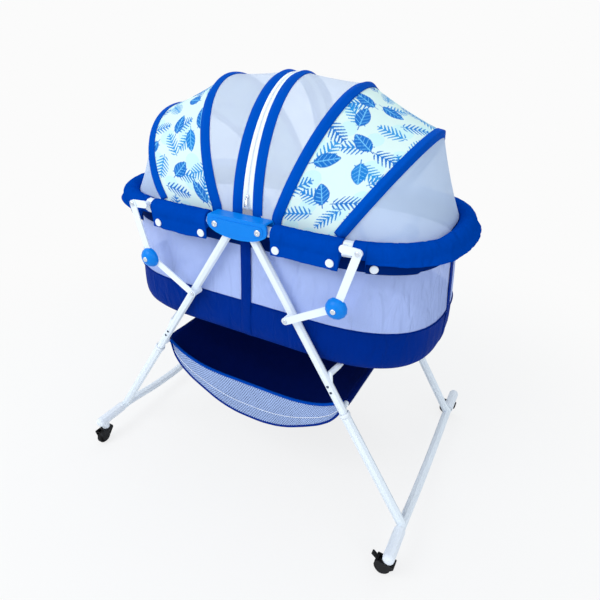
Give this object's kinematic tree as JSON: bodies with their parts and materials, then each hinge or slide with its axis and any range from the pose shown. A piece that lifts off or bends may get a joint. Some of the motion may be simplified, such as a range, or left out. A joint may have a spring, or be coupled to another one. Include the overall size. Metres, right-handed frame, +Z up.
{
  "type": "folding baby bassinet",
  "caption": "Folding cloth baby bassinet on castors: hinged top rail with padded sleeve, knee stays, splayed legs, net canopy on wire hoops and a slung storage basket.",
  "frame": {"origin": "on the floor, under the middle of the bassinet", "axes": "+X to the right along the length, +Y to the rear, +Z up"},
  "size_m": [0.8743, 0.672, 0.9828],
  "materials": {
    "white_metal": "powder-coated steel, smooth satin white",
    "white_plastic": "moulded white plastic",
    "azure_plastic": "moulded azure plastic, satin gloss",
    "black_plastic": "moulded black plastic",
    "black_rubber": "black moulded wheel",
    "navy_cloth": "padded woven cloth, royal navy",
    "navy_binding": "wire in a cloth binding",
    "bag_net": "pale lavender knitted net, loose folds",
    "canopy_net": "fine pale mosquito net",
    "print_cloth": "mint white cloth with a blue leaf print",
    "mattress_cloth": "quilted pad cover",
    "basket_cloth": "navy cloth with a white mesh front"
  },
  "bodies": {
    "hub": {"bracket_front": "azure_plastic", "bracket_rear": "azure_plastic", "bag_wall": "bag_net", "bag_tub": "navy_cloth", "mattress": "mattress_cloth"},
    "basket": {"basket": "basket_cloth"},
    "rail_right": {"rail_right": "white_metal", "rail_sleeve_right": "navy_cloth", "rail_clip_front_right": "white_metal", "rail_clip_rear_right": "white_metal", "outer_hoop_right": "navy_binding", "end_net_right": "canopy_net", "printed_panel_right": "print_cloth"},
    "leg_right": {"upper_leg_frame_right": "white_metal", "lower_leg_frame_right": "white_metal", "basket_rod_right": "white_metal", "foot_cap_front_right": "white_plastic", "foot_cap_rear_right": "white_plastic"},
    "upper_stays_right": {"upper_stay_front_right": "white_metal", "upper_stay_rear_right": "white_metal", "stay_knob_front_right": "azure_plastic", "stay_knob_rear_right": "azure_plastic"},
    "lower_stays_right": {"lower_stay_front_right": "white_metal", "lower_stay_rear_right": "white_metal"},
    "canopy_middle_right": {"middle_hoop_right": "navy_binding", "net_panel_right": "canopy_net"},
    "canopy_centre_right": {"centre_hoop_right": "navy_binding"},
    "rail_left": {"rail_left": "white_metal", "rail_sleeve_left": "navy_cloth", "rail_clip_front_left": "white_metal", "rail_clip_rear_left": "white_metal", "outer_hoop_left": "navy_binding", "end_net_left": "canopy_net", "printed_panel_left": "print_cloth"},
    "leg_left": {"upper_leg_frame_left": "white_metal", "lower_leg_frame_left": "white_metal", "basket_rod_left": "white_metal", "foot_cap_front_left": "white_plastic", "foot_cap_rear_left": "white_plastic"},
    "upper_stays_left": {"upper_stay_front_left": "white_metal", "upper_stay_rear_left": "white_metal", "stay_knob_front_left": "azure_plastic", "stay_knob_rear_left": "azure_plastic"},
    "lower_stays_left": {"lower_stay_front_left": "white_metal", "lower_stay_rear_left": "white_metal"},
    "canopy_middle_left": {"middle_hoop_left": "navy_binding", "net_panel_left": "canopy_net"},
    "canopy_centre_left": {"centre_hoop_left": "navy_binding"},
    "castor_front_right": {"castor_fork_front_right": "black_plastic"},
    "wheel_front_right": {"castor_wheel_front_right": "black_rubber"},
    "castor_front_left": {"castor_fork_front_left": "black_plastic"},
    "wheel_front_left": {"castor_wheel_front_left": "black_rubber"},
    "brake_front_right": {"brake_pedal_front_right": "black_plastic"},
    "castor_rear_right": {"castor_fork_rear_right": "black_plastic"},
    "wheel_rear_right": {"castor_wheel_rear_right": "black_rubber"},
    "castor_rear_left": {"castor_fork_rear_left": "black_plastic"},
    "wheel_rear_left": {"castor_wheel_rear_left": "black_rubber"},
    "brake_rear_right": {"brake_pedal_rear_right": "black_plastic"}
  },
  "joints": [
    {"name": "rail_fold_right", "type": "hinge", "parent": "hub", "child": "rail_right", "pos_m": [0.051, 0, 0.705], "axis": [0, 1, 0], "range_deg": [0, 78], "deforming": ["bag_wall", "bag_tub", "mattress"]},
    {"name": "leg_fold_right", "type": "hinge", "parent": "hub", "child": "leg_right", "pos_m": [0.016, 0, 0.705], "axis": [0, 1, 0], "range_deg": [0, 28.2]},
    {"name": "upper_stay_right", "type": "hinge", "parent": "rail_right", "child": "upper_stays_right", "pos_m": [0.264, 0, 0.712], "axis": [0, -1, 0], "range_deg": [0, 77.21]},
    {"name": "lower_stay_right", "type": "hinge", "parent": "leg_right", "child": "lower_stays_right", "pos_m": [0.11952, 0, 0.52868], "axis": [0, 1, 0], "range_deg": [0, 72.94]},
    {"name": "canopy_middle_right", "type": "hinge", "parent": "rail_right", "child": "canopy_middle_right", "pos_m": [0.069, 0, 0.712], "axis": [0, 1, 0], "range_deg": [0, 20], "deforming": ["printed_panel_right"]},
    {"name": "canopy_centre_right", "type": "hinge", "parent": "canopy_middle_right", "child": "canopy_centre_right", "pos_m": [0.069, 0, 0.712], "axis": [0, 1, 0], "range_deg": [0, 25.2], "deforming": ["net_panel_right"]},
    {"name": "rail_fold_left", "type": "hinge", "parent": "hub", "child": "rail_left", "pos_m": [-0.051, 0, 0.705], "axis": [0, -1, 0], "range_deg": [0, 78.2]},
    {"name": "leg_fold_left", "type": "hinge", "parent": "hub", "child": "leg_left", "pos_m": [-0.016, 0, 0.705], "axis": [0, -1, 0], "range_deg": [0, 28.2]},
    {"name": "upper_stay_left", "type": "hinge", "parent": "rail_left", "child": "upper_stays_left", "pos_m": [-0.264, 0, 0.712], "axis": [0, 1, 0], "range_deg": [0, 77.21]},
    {"name": "lower_stay_left", "type": "hinge", "parent": "leg_left", "child": "lower_stays_left", "pos_m": [-0.11952, 0, 0.52868], "axis": [0, -1, 0], "range_deg": [0, 72.94]},
    {"name": "canopy_middle_left", "type": "hinge", "parent": "rail_left", "child": "canopy_middle_left", "pos_m": [-0.069, 0, 0.712], "axis": [0, -1, 0], "range_deg": [0, 20], "deforming": ["printed_panel_left"]},
    {"name": "canopy_centre_left", "type": "hinge", "parent": "canopy_middle_left", "child": "canopy_centre_left", "pos_m": [-0.069, 0, 0.712], "axis": [0, -1, 0], "range_deg": [0, 25.2], "deforming": ["net_panel_left"]},
    {"name": "basket_drop", "type": "slide", "parent": "hub", "child": "basket", "axis": [0, 0, -1], "range_m": [0, 0.0683], "deforming": ["basket"]},
    {"name": "castor_swivel_front_right", "type": "hinge", "parent": "leg_right", "child": "castor_front_right", "pos_m": [0.4237, -0.304, 0.06], "axis": [0, 0, 1], "continuous": true},
    {"name": "wheel_spin_front_right", "type": "hinge", "parent": "castor_front_right", "child": "wheel_front_right", "pos_m": [0.4107, -0.304, 0.019], "axis": [0, 1, 0], "continuous": true},
    {"name": "castor_swivel_front_left", "type": "hinge", "parent": "leg_left", "child": "castor_front_left", "pos_m": [-0.4237, -0.304, 0.06], "axis": [0, 0, 1], "continuous": true},
    {"name": "wheel_spin_front_left", "type": "hinge", "parent": "castor_front_left", "child": "wheel_front_left", "pos_m": [-0.4237, -0.317, 0.019], "axis": [1, 0, 0], "continuous": true},
    {"name": "brake_press_front_right", "type": "hinge", "parent": "castor_front_right", "child": "brake_front_right", "pos_m": [0.39793, -0.304, 0.03944], "axis": [0, -1, 0], "range_deg": [0, 18]},
    {"name": "castor_swivel_rear_right", "type": "hinge", "parent": "leg_right", "child": "castor_rear_right", "pos_m": [0.4237, 0.304, 0.06], "axis": [0, 0, 1], "continuous": true},
    {"name": "wheel_spin_rear_right", "type": "hinge", "parent": "castor_rear_right", "child": "wheel_rear_right", "pos_m": [0.4107, 0.304, 0.019], "axis": [0, 1, 0], "continuous": true},
    {"name": "castor_swivel_rear_left", "type": "hinge", "parent": "leg_left", "child": "castor_rear_left", "pos_m": [-0.4237, 0.304, 0.06], "axis": [0, 0, 1], "continuous": true},
    {"name": "wheel_spin_rear_left", "type": "hinge", "parent": "castor_rear_left", "child": "wheel_rear_left", "pos_m": [-0.4237, 0.317, 0.019], "axis": [1, 0, 0], "continuous": true},
    {"name": "brake_press_rear_right", "type": "hinge", "parent": "castor_rear_right", "child": "brake_rear_right", "pos_m": [0.39793, 0.304, 0.03944], "axis": [0, -1, 0], "range_deg": [0, 18]}
  ],
  "couplings": [
    {"joint": "leg_fold_right", "follows": "rail_fold_right", "ratio": 0.35897},
    {"joint": "upper_stay_right", "follows": "rail_fold_right", "ratio": 0.98603},
    {"joint": "lower_stay_right", "follows": "rail_fold_right", "ratio": 0.93127},
    {"joint": "canopy_centre_right", "follows": "canopy_middle_right", "ratio": 1.25},
    {"joint": "rail_fold_left", "follows": "rail_fold_right", "ratio": 1},
    {"joint": "leg_fold_left", "follows": "rail_fold_right", "ratio": 0.35897},
    {"joint": "upper_stay_left", "follows": "rail_fold_right", "ratio": 0.98603},
    {"joint": "lower_stay_left", "follows": "rail_fold_right", "ratio": 0.93127},
    {"joint": "canopy_centre_left", "follows": "canopy_middle_left", "ratio": 1.25},
    {"joint": "basket_drop", "follows": "rail_fold_right", "m_per_rad": 0.049877}
  ]
}
